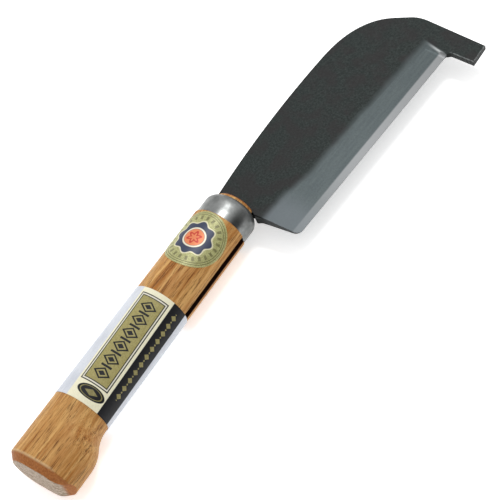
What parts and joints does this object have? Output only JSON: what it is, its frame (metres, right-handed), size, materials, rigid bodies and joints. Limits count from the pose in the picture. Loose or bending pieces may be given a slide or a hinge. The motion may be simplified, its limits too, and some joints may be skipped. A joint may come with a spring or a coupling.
{
  "type": "hatchet",
  "caption": "Hand hatchet with a straight cutting edge, a squared guard beak past the edge, a steel ferrule and an oval wooden handle with a butt knob, paper band and round sticker.",
  "frame": {"origin": "centre of the handle's flat butt face, on the grip's axis", "axes": "+X along the handle to the blade, +Y towards the blade's spine, +Z out of the blade's flat side"},
  "size_m": [0.3609, 0.0901, 0.0312],
  "materials": {
    "blade": "dark forge scale on the flats, grey ground face and a bright honed strip beside the edge",
    "handle": "bare sanded oak, long grain, darker chamfer at the butt",
    "ferrule": "polished steel",
    "rivets": "plain cut steel",
    "paper_label": "printed paper with a cream field, a gilt plaque and a black stripe, no lettering",
    "round_sticker": "gilt printed sticker with plain rings and a plain geometric centre, no lettering"
  },
  "bodies": {
    "root": {"blade": "blade", "handle": "handle", "ferrule": "ferrule", "front_rivet": "rivets", "rear_rivet": "rivets", "paper_label": "paper_label", "round_sticker": "round_sticker"}
  },
  "joints": []
}
